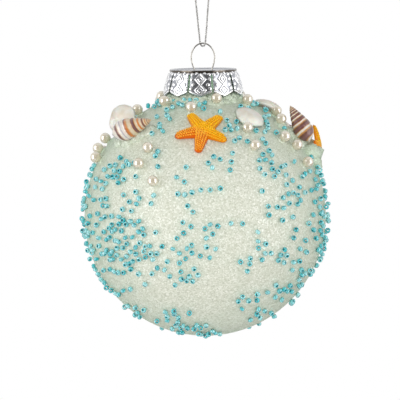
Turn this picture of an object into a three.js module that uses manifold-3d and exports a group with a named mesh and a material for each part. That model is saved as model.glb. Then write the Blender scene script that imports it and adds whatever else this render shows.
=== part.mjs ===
// A glass Christmas bauble dressed for the seaside: a frosted hollow ball with an open neck, a pressed
// silver cap with fingers, a spring wire hanger and a loop of cord. Pearls, starfish, clam and turret
// shells and drifts of seed beads are glued round its shoulder. Millimetres, +Z up, front towards -Y.
import * as THREE from "three";
import { mergeVertices } from "three/addons/utils/BufferGeometryUtils.js";
import Module from "manifold-3d";

const wasm = await Module();
wasm.setup();

const DEG = Math.PI / 180;

// Driving dimensions. Heights are above the middle of the ball.
const ball = { radius: 48, wall: 1, neckRadius: 11.9, neckWall: 1.2, shoulderFillet: 2.5, neckLength: 8.6 };
const glueGap = 0.4; // the thickness of glue and frost under whatever is stuck on the ball
const sheet = 0.4; // the pressed metal of the cap
const cap = {
  skirtClearance: 0.6, seatClearance: 0.3, rimHeight: 0.4, rimWidth: 0.5, fingers: 10, slitWidth: 0.8,
  slitTop: 1.6, footGap: 2.4, skirtFlare: 2.5, pointLength: 1.9, frontFinger: -4.5,
};
const diamond = { width: 4.4, height: 4.25, relief: 0.35, firstDrop: 3.4 };
const hanger = {
  wireRadius: 0.3, ringRadius: 4.65, ringRise: 5.7, ringAboveCap: 10.4, legSpacing: 6.9,
  holeClearance: 0.35, legLength: 11.5, wallClearance: 0.5,
};
const cord = { radius: 0.35 };
const knot = { radius: 0.9, height: 2.4, endGap: 0.3 };
const pearl = { radius: 2 };
const starfish = { armLength: 10.7, thickness: 2.6, baseHalfWidth: 3.4, tipRadius: 1.65, droop: 0.5 };
const clam = { length: 11.4, width: 12.4, height: 3.4, wall: 0.8 };
const turret = { length: 18, radius: 4.1, whorls: 5, seam: 0.07 };
const bead = { radius: 1.05, height: 1.5, touch: 0.83 };

const roundSides = 28;
const outerSteps = 12;
const innerSteps = 8;

// Colours and finishes.
const finish = (colour, roughness, metalness = 0) =>
  new THREE.MeshStandardMaterial({ color: colour, roughness, metalness });
const frostedGlass = finish(0xd8ddd0, 0.75);
const pressedSilver = finish(0xc9ccd2, 0.22, 1);
const steelWire = finish(0xb9b8b0, 0.3, 1);
const silverThread = finish(0xcfcdc6, 0.45, 0.6);
const ivoryPearl = finish(0xe6dfca, 0.2);
const orangeResin = finish(0xf08c12, 0.35);
const whiteShell = finish(0xe9e6de, 0.4);
const stripedShell = finish(0xb98262, 0.35);
const aquaGlass = finish(0x35b3bd, 0.15);

// Joining and cutting closed meshes.
function toSolid(geometry) {
  const bare = geometry.index ? geometry.toNonIndexed() : geometry.clone();
  bare.deleteAttribute("normal");
  bare.deleteAttribute("uv");
  const merged = mergeVertices(bare, 1e-4);
  return new wasm.Manifold(
    new wasm.Mesh({
      numProp: 3,
      vertProperties: new Float32Array(merged.attributes.position.array),
      triVerts: new Uint32Array(merged.index.array),
    }),
  );
}

function toGeometry(solid) {
  const mesh = solid.getMesh();
  return new THREE.BufferGeometry()
    .setAttribute("position", new THREE.BufferAttribute(mesh.vertProperties, 3))
    .setIndex(new THREE.BufferAttribute(mesh.triVerts, 1));
}

// A profile of [radius, height] points turned round +Z, from the axis back to the axis.
function turned(profile, sides) {
  const points = profile.map(([radius, height]) => new THREE.Vector2(radius, height));
  return new THREE.LatheGeometry(points, sides).rotateX(Math.PI / 2);
}

// A unit sphere whose points are moved to place(angle round +Z, share of the way from top to bottom).
function sculpted(sides, rows, place) {
  const geometry = new THREE.SphereGeometry(1, sides, rows);
  const position = geometry.attributes.position;
  const columns = sides + 1;
  for (let i = 0; i < position.count; i++) {
    const angle = ((i % columns) % sides) * ((2 * Math.PI) / sides);
    const down = Math.floor(i / columns) / rows;
    position.setXYZ(i, ...place(angle, down));
  }
  geometry.deleteAttribute("normal");
  geometry.deleteAttribute("uv");
  return geometry;
}

// A value read off a list of evenly spaced values.
function along(values, share) {
  const at = share * (values.length - 1);
  const low = Math.min(Math.floor(at), values.length - 2);
  return values[low] + (values[low + 1] - values[low]) * (at - low);
}

// Places on the ball: longitude runs from the front towards +X, latitude up from the equator.
function outward(longitude, latitude) {
  const [lon, lat] = [longitude * DEG, latitude * DEG];
  return new THREE.Vector3(Math.cos(lat) * Math.sin(lon), -Math.cos(lat) * Math.cos(lon), Math.sin(lat));
}

// The frame of a place on the ball: x east, y north, z outward, at a height above the surface.
function seatOn(longitude, latitude, height) {
  const normal = outward(longitude, latitude);
  const east = new THREE.Vector3(Math.cos(longitude * DEG), Math.sin(longitude * DEG), 0);
  const north = new THREE.Vector3().crossVectors(normal, east);
  return new THREE.Matrix4()
    .makeBasis(east, north, normal)
    .setPosition(normal.multiplyScalar(ball.radius + height));
}

// How far the ball's surface falls away below its tangent plane.
const fallAway = (distance) => ball.radius - Math.sqrt(ball.radius ** 2 - distance ** 2);

const group = new THREE.Group();
const bauble = new THREE.Group();
group.add(bauble);

function addPiece(name, geometry, material, seat = new THREE.Matrix4()) {
  const mesh = new THREE.Mesh(geometry, material);
  mesh.name = name;
  mesh.applyMatrix4(seat);
  bauble.add(mesh);
}

// The blown glass ball, with a fillet up to its neck and a wall of even thickness.
const filletAxis = ball.neckRadius + ball.shoulderFillet;
const filletReach = ball.radius + ball.shoulderFillet;
const shoulder = Math.asin(filletAxis / filletReach);
const filletHeight = Math.cos(shoulder) * filletReach;
const mouthHeight = filletHeight + ball.neckLength;

function glassBall() {
  const outer = [];
  for (let i = 0; i <= outerSteps; i++) {
    const polar = Math.PI - ((Math.PI - shoulder) * i) / outerSteps;
    outer.push([ball.radius * Math.sin(polar), ball.radius * Math.cos(polar)]);
  }
  outer[0][0] = 0;
  const bend = (Math.PI / 2 - shoulder) / 2;
  const halfway = shoulder + bend;
  const fillet = [
    [
      filletAxis - ball.shoulderFillet * Math.sin(halfway),
      filletHeight - ball.shoulderFillet * Math.cos(halfway),
    ],
    [ball.neckRadius, filletHeight],
  ];
  const innerRadius = ball.radius - ball.wall;
  const throat = Math.asin((ball.neckRadius - ball.neckWall) / innerRadius);
  const inner = [];
  for (let i = 0; i <= innerSteps; i++) {
    const polar = throat + ((Math.PI - throat) * i) / innerSteps;
    inner.push([innerRadius * Math.sin(polar), innerRadius * Math.cos(polar)]);
  }
  inner[innerSteps][0] = 0;
  const lip = [
    [ball.neckRadius, mouthHeight],
    [ball.neckRadius - ball.neckWall, mouthHeight],
  ];
  return turned([...outer, ...fillet, ...lip, ...inner], roundSides);
}
addPiece("glass_ball", glassBall(), frostedGlass);

// The pressed cap: a flat top with a raised rim, and a flared skirt slit into pointed fingers.
const discUnder = mouthHeight + cap.seatClearance;
const discTop = discUnder + sheet;
const capTop = discTop + cap.rimHeight;
const capRadius = ball.neckRadius + cap.skirtClearance + sheet;
const footHeight = Math.sqrt(ball.radius ** 2 - (capRadius + cap.skirtFlare) ** 2) + cap.footGap;
const skirtLength = capTop - cap.pointLength - footHeight;
const skirtDrops = [0, 1 / 3, 2 / 3, 1];
const skirtFlares = [0, 0.42, 0.74, 1];

// The radius of the skirt's outer face along the middle of a finger, at a drop below the cap's top.
const skirtRadius = (drop) => capRadius + cap.skirtFlare * along(skirtFlares, drop / skirtLength);

function pressedCap() {
  const skirt = skirtDrops.map((drop, i) => [
    capRadius + cap.skirtFlare * skirtFlares[i],
    capTop - skirtLength * drop,
  ]);
  const lining = skirt.map(([radius, height]) => [radius - sheet, height]).reverse();
  lining[lining.length - 1] = [capRadius - sheet, discUnder];
  const top = [
    [0, discTop],
    [capRadius - cap.rimWidth - cap.rimHeight, discTop],
    [capRadius - cap.rimWidth, capTop],
  ];
  const sidesEach = 2;
  const profile = [...top, ...skirt, ...lining, [0, discUnder]].reverse();
  const blank = turned(profile, cap.fingers * sidesEach);
  const edge = capTop - skirtLength + 0.01;
  const pitch = 360 / cap.fingers;
  const position = blank.attributes.position;
  for (let i = 0; i < position.count; i++) {
    if (position.getZ(i) > edge) continue;
    const angle = Math.atan2(position.getX(i), -position.getY(i)) / DEG;
    const across = Math.abs(((angle + 720 + pitch / 2) % pitch) - pitch / 2) / (pitch / 2);
    position.setZ(i, position.getZ(i) - cap.pointLength * (1 - across));
  }
  let solid = toSolid(blank);
  const slitHeight = skirtLength + cap.pointLength;
  for (let i = 0; i < cap.fingers; i++) {
    const slit = new THREE.BoxGeometry(cap.slitWidth, cap.skirtFlare * 3, slitHeight)
      .translate(0, -(capRadius + cap.skirtFlare), capTop - cap.slitTop - slitHeight / 2)
      .rotateZ(pitch * (i + 0.5) * DEG);
    solid = solid.subtract(toSolid(slit));
  }
  const lean = Math.atan2(cap.skirtFlare, skirtLength);
  for (let i = 0; i < cap.fingers; i++) {
    for (const drop of [diamond.firstDrop, diamond.firstDrop + diamond.height]) {
      const boss = new THREE.OctahedronGeometry(1)
        .scale(diamond.width / 2, sheet + diamond.relief, diamond.height / 2)
        .rotateX(-lean)
        .translate(0, -skirtRadius(drop) + sheet, capTop - drop)
        .rotateZ(pitch * i * DEG);
      solid = solid.add(toSolid(boss));
    }
  }
  solid = toSolid(toGeometry(solid).rotateZ(cap.frontFinger * DEG));
  for (const side of [-1, 1]) {
    const hole = new THREE.CylinderGeometry(
      hanger.wireRadius + hanger.holeClearance, hanger.wireRadius + hanger.holeClearance, sheet * 4, 10,
    )
      .rotateX(Math.PI / 2)
      .translate((side * hanger.legSpacing) / 2, 0, discTop - sheet / 2);
    solid = solid.subtract(toSolid(hole));
  }
  return toGeometry(solid);
}
addPiece("cap", pressedCap(), pressedSilver);

// A closed tube of even radius along a curve.
function tube(curve, radius, sides, steps) {
  const section = new THREE.Shape();
  for (let i = 0; i < sides; i++) {
    const angle = (2 * Math.PI * i) / sides;
    section[i ? "lineTo" : "moveTo"](radius * Math.cos(angle), radius * Math.sin(angle));
  }
  section.closePath();
  return new THREE.ExtrudeGeometry(section, { steps, bevelEnabled: false, extrudePath: curve });
}

// The spring wire hanger: a ring above the cap, whose legs pass through it and spread inside the neck.
const ringTop = capTop + hanger.ringAboveCap;
const ringCentre = ringTop - hanger.ringRise;

function wireHanger() {
  const legHole = [hanger.legSpacing / 2, discTop - sheet / 2];
  const legEnd = [
    ball.neckRadius - ball.neckWall - hanger.wireRadius - hanger.wallClearance,
    legHole[1] - hanger.legLength,
  ];
  const half = [
    legEnd,
    [legHole[0] + (legEnd[0] - legHole[0]) * 0.4, legHole[1] - hanger.legLength * 0.55],
    [legHole[0] + (legEnd[0] - legHole[0]) * 0.06, legHole[1] - hanger.legLength * 0.17],
    legHole,
  ];
  for (let angle = -20; angle < 90; angle += 22) {
    half.push([
      hanger.ringRadius * Math.cos(angle * DEG),
      ringCentre + hanger.ringRise * Math.sin(angle * DEG),
    ]);
  }
  const points = [
    ...half.map(([x, z]) => new THREE.Vector3(-x, 0, z)),
    new THREE.Vector3(0, 0, ringTop),
    ...half.reverse().map(([x, z]) => new THREE.Vector3(x, 0, z)),
  ];
  return tube(new THREE.CatmullRomCurve3(points), hanger.wireRadius, 6, 40);
}
addPiece("hanger_wire", wireHanger(), steelWire);

// The cord loop, from the lower end of its knot down to the ring, under it and back over the top.
// Each point is [x, y, height above the top of the wire ring's middle line].
const cordRoute = [
  [2.84, -0.08, 20.4], [2.43, -0.36, 15.6], [2.0, -0.68, 10.8], [1.55, -1.0, 5.4], [1.24, -1.16, 2.2],
  [1.1, -1.18, 0.75], [0.88, -1.0, -0.34], [0.46, -0.52, -1.0], [0, 0, -1.18], [-0.46, 0.52, -1.0],
  [-0.88, 1.0, -0.34], [-1.1, 1.18, 0.75], [-1.24, 1.16, 2.2], [-1.55, 1.0, 5.4], [-2.0, 0.68, 10.8],
  [-2.43, 0.36, 15.6], [-2.84, 0.1, 20.4], [-3.1, 0, 23.8], [-2.98, 0, 25.4], [-2.28, 0, 26.8],
  [-1.18, 0, 27.6], [0, 0, 27.88], [1.18, 0, 27.6], [2.28, 0, 26.8], [2.98, 0, 25.4], [3.02, 0, 23.5],
];
const cordPoints = cordRoute.map(([x, y, rise]) => new THREE.Vector3(x, y, ringTop + rise));
addPiece("cord_loop", tube(new THREE.CatmullRomCurve3(cordPoints), cord.radius, 8, 40), silverThread);

// The overhand knot that joins the cord's two ends, with their two short tails.
function cordKnot() {
  const [start, end] = [cordPoints[0], cordPoints[cordPoints.length - 1]];
  const middle = new THREE.Vector3().addVectors(start, end).multiplyScalar(0.5);
  const half = start.distanceTo(end) / 2 - knot.endGap;
  let solid = toSolid(
    new THREE.IcosahedronGeometry(1, 1).scale(knot.radius, knot.radius, half).translate(...middle),
  );
  for (const side of [-1, 1]) {
    const tail = new THREE.CylinderGeometry(cord.radius, cord.radius, knot.height * 1.5, 6)
      .rotateX(Math.PI / 2)
      .translate(0, 0, knot.height * 0.75)
      .rotateY(42 * DEG)
      .rotateX(side * 24 * DEG)
      .translate(...middle);
    solid = solid.add(toSolid(tail));
  }
  return toGeometry(solid);
}
addPiece("cord_knot", cordKnot(), silverThread);

// Resin starfish, each arm a tapered capsule with a round tip, drooping a little with the ball's curve.
// Arms are given as [direction in degrees from east, share of the arm length].
const starShares = [
  [49, 1.04], [119, 1.06], [190, 1.04], [259, 1.0], [333, 0.95],
];

function armReach(turn, length) {
  const off = Math.abs(((turn + 540) % 360) - 180) * DEG;
  if (off > Math.PI / 2) return 0;
  const straight = length - starfish.tipRadius;
  const taper = (starfish.baseHalfWidth - starfish.tipRadius) / straight;
  const side = starfish.baseHalfWidth / (Math.sin(off) + taper * Math.cos(off));
  if (side * Math.cos(off) < straight) return side;
  const inside = Math.max(0, starfish.tipRadius ** 2 - (straight * Math.sin(off)) ** 2);
  return straight * Math.cos(off) + Math.sqrt(inside);
}

function starfishBody(size) {
  const scales = [0, 0.42, 0.8, 1, 0.94, 0];
  const heights = [1, 0.9, 0.66, 0.28, 0, 0];
  const arms = starShares.length;
  return sculpted(arms * 8, 5, (fullTurn, down) => {
    const around = (fullTurn / (2 * Math.PI)) * arms;
    const arm = Math.floor(around + 1e-6) % arms;
    const part = around - Math.floor(around + 1e-6);
    const here = starShares[arm][0];
    const next = starShares[(arm + 1) % arms][0];
    const gap = (next - here + 360) % 360;
    const turn = here + gap * (part - 0.11 * Math.sin(2 * Math.PI * part));
    const angle = turn * DEG;
    const reaches = starShares.map(([way, share]) => armReach(turn - way, starfish.armLength * share));
    const reach = Math.max(...reaches);
    const distance = size * reach * along(scales, down);
    const height = size * starfish.thickness * along(heights, down) - starfish.droop * fallAway(distance);
    return [distance * Math.cos(angle), distance * Math.sin(angle), height];
  });
}

// One valve of a clam, hollow underneath: a fan that widens from its beak at -Y, with the dome's
// highest point near the beak.
function clamValve() {
  const scales = [0, 0.45, 0.8, 1, 0.78, 0];
  const apex = -0.18 * clam.length;
  return sculpted(18, 5, (angle, down) => {
    const outside = down < 0.7;
    const scale = along(scales, down) * (outside ? 1 : 1 - clam.wall / clam.width);
    const beak = Math.max(0, -Math.sin(angle));
    const rimX = (clam.width / 2) * Math.cos(angle) * (1 - 0.25 * beak);
    const rimY = (clam.length / 2) * (Math.sin(angle) - 0.1 * beak ** 4);
    const dome = Math.sqrt(Math.max(0, 1 - scale ** 2.4));
    const height = outside ? clam.height * dome : (clam.height - clam.wall) * dome;
    return [rimX * scale, apex + (rimY - apex) * scale, height];
  });
}

// A turret snail shell along X, its tip at +X: a cone of whorls with a spiral seam and a rounded base.
function turretShell(size) {
  const widths = [0, 0.55, 0.84, 0.98, 1, 0.95, 0.85, 0.72, 0.58, 0.42, 0.25, 0];
  const rows = widths.length - 1;
  return sculpted(12, rows, (angle, down) => {
    const width = along(widths, down);
    const wave = Math.cos(2 * Math.PI * (down * turret.whorls + angle / (2 * Math.PI)));
    const radius = size * turret.radius * width * (1 - turret.seam * (1 + wave) * (down > 0.3 ? 1 : 0));
    const x = size * turret.length * (down - 0.5);
    return [x, radius * Math.cos(angle), -radius * Math.sin(angle)];
  });
}

// Where the trimmings sit: [name, longitude, latitude, spin about the outward normal, and the
// trimming's tilt (its +X end up) and lean (its +Y edge up), all in degrees, and for a starfish or a
// turret its size as a share of the usual one].
const starfishPlaces = [
  ["front", -0.7, 46.5, 0, 0, 0, 1],
  ["right_rear", 97, 30.5, -27, 0, 27, 0.78],
  ["back", 176, 44, 35, 0, 0, 1],
];
const clamPlaces = [
  ["left", -70, 49.5, -12, -34, 10],
  ["right", 38.5, 54.5, -58, 0, 0],
  ["right_rear", 108, 58, -30, 0, -8],
  ["back_left", -142, 53, 25, 0, 0],
  ["back_right", 146, 40, -70, 0, 0],
];
const turretPlaces = [
  ["left", -48, 44.3, 33, -4, 0, 1],
  ["right", 75, 43, 92, 14, 0, 0.92],
  ["back_left", -138, 36, 150, -6, 0, 1],
  ["back_right", 128, 35, 60, -6, 0, 1],
];
const pearlPlaces = [
  [-51, 67], [-98, 70.6], [-81, 58], [-12, 62], [17, 70], [62, 67], [89, 55], [29, 46.5], [-97, 38],
  [-89, 33], [-77, 29], [-32.5, 36], [-35, 28], [-25, 20], [29, 36.5], [55, 40], [62, 35], [63.5, 26],
  [70, 50], [126, 69], [152, 61], [-166, 66], [-128, 64], [178, 30], [-160, 34], [-150, 42], [-112, 30],
  [142, 20], [155, 53], [120, 42], [-105, 49], [-176, 20],
];

function turnedSeat([, longitude, latitude, spin, tilt, lean], height) {
  return seatOn(longitude, latitude, height)
    .multiply(new THREE.Matrix4().makeRotationZ(spin * DEG))
    .multiply(new THREE.Matrix4().makeRotationY(-tilt * DEG))
    .multiply(new THREE.Matrix4().makeRotationX(lean * DEG));
}

// A tilted trimming is raised by as much as its low edge would otherwise go down.
const raised = ([, , , , tilt, lean], reachX, reachY) =>
  Math.hypot(Math.sin(tilt * DEG) * reachX, Math.sin(lean * DEG) * reachY);

for (const place of starfishPlaces) {
  const size = place[6];
  const lift = raised(place, size * starfish.armLength, size * starfish.armLength);
  addPiece(`starfish_${place[0]}`, starfishBody(size), orangeResin, turnedSeat(place, glueGap + lift));
}
for (const place of clamPlaces) {
  const lift = raised(place, clam.width / 2, clam.length / 2);
  addPiece(`clam_shell_${place[0]}`, clamValve(), whiteShell, turnedSeat(place, glueGap + lift));
}
for (const place of turretPlaces) {
  const size = place[6];
  const height = glueGap + size * turret.radius + raised(place, turret.length / 3, 0);
  addPiece(`turret_shell_${place[0]}`, turretShell(size), stripedShell, turnedSeat(place, height));
}
pearlPlaces.forEach(([longitude, latitude], i) => {
  const round = new THREE.SphereGeometry(pearl.radius, 7, 5).rotateX(Math.PI / 2);
  addPiece(`pearl_${i + 1}`, round, ivoryPearl, seatOn(longitude, latitude, glueGap + pearl.radius));
});

// Drifts of touching seed beads, each [longitude, latitude, heading from east, curl per bead, count].
const driftPlaces = [
  [-72, 18, 10, 9, 5],
  [-88, 5, -84, 5, 5],
  [-52, -18, 10, -8, 5],
  [24, -84, -90, 0, 5],
  [38, 33, -30, 12, 5],
  [88, 3, -86, -5, 5],
  [44, -36, -8, 12, 5],
  [176, 2, -8, 10, 5],
];

function beadDrift([longitude, latitude, heading, curl, count]) {
  let solid = null;
  let [lon, lat, way] = [longitude, latitude, heading];
  const step = (2 * bead.radius * bead.touch) / (ball.radius * DEG);
  for (let k = 0; k < count; k++) {
    const drum = toSolid(
      new THREE.CylinderGeometry(bead.radius, bead.radius, bead.height, 6)
        .rotateX(Math.PI / 2)
        .rotateZ(way * DEG)
        .applyMatrix4(seatOn(lon, lat, glueGap + bead.height / 2)),
    );
    solid = solid ? solid.add(drum) : drum;
    lon += (step * Math.cos(way * DEG)) / Math.cos(lat * DEG);
    lat += step * Math.sin(way * DEG);
    way += curl * (k % 3 === 1 ? -1.5 : 1);
  }
  return toGeometry(solid);
}
driftPlaces.forEach((place, i) => addPiece(`bead_drift_${i + 1}`, beadDrift(place), aquaGlass));

// The origin is where a twig or hook bears, under the top of the cord loop.
const loopTop = Math.max(...cordPoints.map((point) => point.z));
bauble.position.z = -(loopTop - cord.radius);

export default group;
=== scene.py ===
from math import atan2, cos, exp, hypot, log, pi, radians, sin, sqrt
from random import Random

import bmesh
import bpy
from mathutils import Matrix, Vector, noise
from mathutils.geometry import interpolate_bezier


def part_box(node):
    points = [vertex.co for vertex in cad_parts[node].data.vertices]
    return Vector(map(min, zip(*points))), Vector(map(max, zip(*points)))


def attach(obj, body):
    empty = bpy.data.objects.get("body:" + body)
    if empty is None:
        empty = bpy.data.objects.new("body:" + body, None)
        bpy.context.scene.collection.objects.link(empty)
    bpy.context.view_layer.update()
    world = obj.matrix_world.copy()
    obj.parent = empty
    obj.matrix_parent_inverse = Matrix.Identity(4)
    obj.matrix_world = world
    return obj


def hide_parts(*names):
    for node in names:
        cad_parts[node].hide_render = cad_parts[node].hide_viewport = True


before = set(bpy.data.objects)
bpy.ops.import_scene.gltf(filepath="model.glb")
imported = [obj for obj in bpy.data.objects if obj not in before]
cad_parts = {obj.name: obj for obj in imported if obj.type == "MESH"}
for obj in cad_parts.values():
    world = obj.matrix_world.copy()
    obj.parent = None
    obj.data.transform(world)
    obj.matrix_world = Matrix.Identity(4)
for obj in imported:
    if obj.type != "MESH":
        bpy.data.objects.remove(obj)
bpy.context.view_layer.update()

# The camera looks at the hanging bauble from 1.2 m in front and a little above, through a long lens,
# and is rolled a little, so that the bauble leans to the left by as much.
mm = 0.001
ball_radius = 48 * mm
ball_middle = Vector((0, 0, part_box("glass_ball")[0].z + ball_radius))

camera_distance = 1.2
lens = 270.9
look_down = radians(4.8)
roll = radians(0.83)
picture_size = 400
ball_in_picture = (205.2, 215.1)

level_right = Vector((1, 0, 0))
forward = Vector((0, cos(look_down), -sin(look_down)))
level_up = level_right.cross(forward)
right = level_right * cos(roll) - level_up * sin(roll)
up = level_right * sin(roll) + level_up * cos(roll)

camera_data = bpy.data.cameras.new("camera")
camera_data.lens = lens
per_pixel = camera_distance * camera_data.sensor_width / lens / picture_size
aside = (ball_in_picture[0] - picture_size / 2) * per_pixel
above = (picture_size / 2 - ball_in_picture[1]) * per_pixel
camera = bpy.data.objects.new("camera", camera_data)
camera.matrix_world = Matrix((right, up, -forward)).transposed().to_4x4()
camera.location = ball_middle - forward * camera_distance - right * aside - up * above
bpy.context.scene.collection.objects.link(camera)
bpy.context.scene.camera = camera

# The cord is a thin silver thread of three twisted plies, tied into a loop that hangs from a twig and
# passes under the top of the wire ring. Its points are the solid's own, in millimetres, each with its
# height above the ring.
cord_radius = 0.35 * mm
loop_rise = 27.88 * mm
ring_top = cord_radius - loop_rise
cord_points = [
    (2.84, -0.08, 20.4), (2.43, -0.36, 15.6), (2.0, -0.68, 10.8), (1.55, -1.0, 5.4), (1.24, -1.16, 2.2),
    (1.1, -1.18, 0.75), (0.88, -1.0, -0.34), (0.46, -0.52, -1.0), (0, 0, -1.18), (-0.46, 0.52, -1.0),
    (-0.88, 1.0, -0.34), (-1.1, 1.18, 0.75), (-1.24, 1.16, 2.2), (-1.55, 1.0, 5.4), (-2.0, 0.68, 10.8),
    (-2.43, 0.36, 15.6), (-2.84, 0.1, 20.4), (-3.1, 0, 23.8), (-2.98, 0, 25.4), (-2.28, 0, 26.8),
    (-1.18, 0, 27.6), (0, 0, 27.88), (1.18, 0, 27.6), (2.28, 0, 26.8), (2.98, 0, 25.4), (3.02, 0, 23.5),
]
ply_radius = 0.185 * mm
ply_offset = 0.175 * mm
ply_pitch = 2.6 * mm
plies = 3
thread_colour = (0.62, 0.61, 0.59, 1)
thread_shadow = (0.16, 0.155, 0.15, 1)


def smooth_route(points, step):
    """A smooth line through the points, with a point about every step."""
    slopes = []
    for i, point in enumerate(points):
        before, after = points[max(i - 1, 0)], points[min(i + 1, len(points) - 1)]
        back, ahead = sqrt((point - before).length), sqrt((after - point).length)
        if back and ahead:
            across = (after - before) / (back + ahead)
            slopes.append((point - before) / back - across + (after - point) / ahead)
        else:
            slopes.append((after - before) / (back + ahead))
    line = []
    for (start, leaving), (end, arriving) in zip(zip(points, slopes), zip(points[1:], slopes[1:])):
        reach = sqrt((end - start).length) / 3
        pieces = max(2, round((end - start).length / step) + 1)
        line += interpolate_bezier(start, start + leaving * reach, end - arriving * reach, end, pieces)[:-1]
    return line + [points[-1]]


def carried_frames(line):
    """Two directions across the line at each of its points, carried along it without a twist."""
    frames = []
    for i, point in enumerate(line):
        ahead = (line[min(i + 1, len(line) - 1)] - line[max(i - 1, 0)]).normalized()
        side = frames[-1][0] if frames else ahead.orthogonal()
        side = (side - ahead * side.dot(ahead)).normalized()
        frames.append((side, ahead.cross(side)))
    return frames


def sweep(bm, line, radius, sides):
    """A closed tube along the line, made by extruding a circle from point to point."""
    frames = carried_frames(line)
    ring = bmesh.ops.create_circle(bm, cap_ends=True, segments=sides, radius=radius)["verts"]
    section = [vert.co.copy() for vert in ring]
    for step, (point, (side, across)) in enumerate(zip(line, frames)):
        if step:
            grown = bmesh.ops.extrude_edge_only(bm, edges=ring_edges)["geom"]
            ring = [matched for vert in ring for matched in linked_ahead(vert, grown)]
        for vert, spot in zip(ring, section):
            vert.co = point + side * spot.x + across * spot.y
        ring_edges = closed_edges(ring)
    bmesh.ops.contextual_create(bm, geom=ring_edges)


def linked_ahead(vert, grown):
    """The vertex that vert has just been extruded to."""
    fresh = {item for item in grown if isinstance(item, bmesh.types.BMVert)}
    return [edge.other_vert(vert) for edge in vert.link_edges if edge.other_vert(vert) in fresh]


def closed_edges(ring):
    """The edges that join the vertices of a ring in their order."""
    pairs = zip(ring, ring[1:] + ring[:1])
    return [next(edge for edge in a.link_edges if edge.other_vert(a) is b) for a, b in pairs]


def finished_mesh(name, bm, material, smooth=True):
    """An object made of the bmesh, with its faces turned outwards, that rides on the frame."""
    bmesh.ops.recalc_face_normals(bm, faces=bm.faces)
    mesh = bpy.data.meshes.new(name)
    bm.to_mesh(mesh)
    bm.free()
    mesh.shade_smooth() if smooth else mesh.shade_flat()
    mesh.materials.append(material)
    piece = bpy.data.objects.new(name, mesh)
    bpy.context.scene.collection.objects.link(piece)
    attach(piece, "root")
    return piece


def plain_material(name, colour, roughness, **sockets):
    """A material with its constants on the shader's own sockets."""
    material = bpy.data.materials.new(name)
    material.use_nodes = True
    shader = material.node_tree.nodes["Principled BSDF"]
    shader.inputs["Base Color"].default_value = colour
    shader.inputs["Roughness"].default_value = roughness
    for socket, value in sockets.items():
        shader.inputs[socket.replace("_", " ")].default_value = value
    return material


def node(material, kind, inputs=None, **settings):
    """A node of that kind. An input is a value, or another node's output to link to it."""
    made = material.node_tree.nodes.new("ShaderNode" + kind)
    for setting, value in settings.items():
        setattr(made, setting, value)
    for socket, value in (inputs or {}).items():
        feed(material, made.inputs[socket], value)
    return made


def feed(material, socket, value):
    if isinstance(value, bpy.types.NodeSocket):
        material.node_tree.links.new(value, socket)
    else:
        socket.default_value = value


def in_millimetres(material):
    """Object coordinates, as millimetres."""
    where = node(material, "TexCoord").outputs["Object"]
    return node(material, "VectorMath", {0: where, 1: (1000, 1000, 1000)}, operation="MULTIPLY").outputs[0]


def colour_steps(material, value, *stops):
    """A colour ramp, from (place, colour) pairs."""
    ramp = node(material, "ValToRGB", {"Fac": value})
    elements = ramp.color_ramp.elements
    while len(elements) < len(stops):
        elements.new(1)
    for element, (place, colour) in zip(elements, stops):
        element.position, element.color = place, (*colour[:3], 1)
    return ramp.outputs["Color"]


def shader_of(material):
    return material.node_tree.nodes["Principled BSDF"]


def bump(material, height, distance, strength=1.0, under=None):
    """Fine relief in the finish, on the shader's normal."""
    inputs = {"Height": height, "Distance": distance, "Strength": strength}
    if under is not None:
        inputs["Normal"] = under
    made = node(material, "Bump", inputs).outputs["Normal"]
    feed(material, shader_of(material).inputs["Normal"], made)
    return made


silver_thread = plain_material("silver_thread", thread_colour, 0.38, Metallic=0.75)
filaments = node(
    silver_thread, "TexNoise", {"Vector": in_millimetres(silver_thread), "Scale": 3.2, "Detail": 3.0},
)
feed(
    silver_thread,
    shader_of(silver_thread).inputs["Base Color"],
    colour_steps(silver_thread, filaments.outputs["Fac"], (0.36, thread_shadow), (0.6, thread_colour)),
)
bump(silver_thread, filaments.outputs["Fac"], 0.05 * mm)

cord_route = [Vector((x, y, z)) * mm + Vector((0, 0, ring_top)) for x, y, z in cord_points]
cord_line = smooth_route(cord_route, 0.2 * mm)


def twisted(line, bm, sides=6):
    """The plies of the thread, wound round a line."""
    frames = carried_frames(line)
    gone = 0.0
    turns = []
    for i, point in enumerate(line):
        gone += (point - line[i - 1]).length if i else 0
        turns.append(2 * pi * gone / ply_pitch)
    for ply in range(plies):
        lay = 2 * pi * ply / plies
        strand = [
            point + (side * cos(turn + lay) + across * sin(turn + lay)) * ply_offset
            for point, (side, across), turn in zip(line, frames, turns)
        ]
        sweep(bm, strand, ply_radius, sides)


cord_bm = bmesh.new()
twisted(cord_line, cord_bm)
cord_loop = finished_mesh("hanging_cord", cord_bm, silver_thread)
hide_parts("cord_loop")

# The knot is an overhand one in the same thread. Its turns close round both ends of the cord, and two
# short tails stick out of it, upwards and to the right.
knot_low, knot_high = cord_line[0], cord_line[-1]
knot_middle = (knot_low + knot_high) / 2
knot_half = (knot_high - knot_low).length / 2 - 0.25 * mm
knot_coil = 0.42 * mm
knot_turns = 1.6
tail_length = 3.3 * mm
knot_bm = bmesh.new()
for side in (-1, 1):
    tail_way = Vector((sin(radians(42)), -side * cos(radians(42)) * sin(radians(24)), cos(radians(42))))
    route = []
    for i in range(15):
        share = i / 14
        turn = 2 * pi * knot_turns * share + (0 if side < 0 else pi)
        rise = knot_half * (1 - 1.5 * share) * side
        route.append(knot_middle + Vector((knot_coil * cos(turn), knot_coil * sin(turn), rise)))
    route += [knot_middle + tail_way * tail_length * share for share in (0.35, 0.65, 1)]
    twisted(smooth_route(route, 0.25 * mm), knot_bm)
cord_knot = finished_mesh("knot_in_the_cord", knot_bm, silver_thread)
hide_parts("cord_knot")

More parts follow.
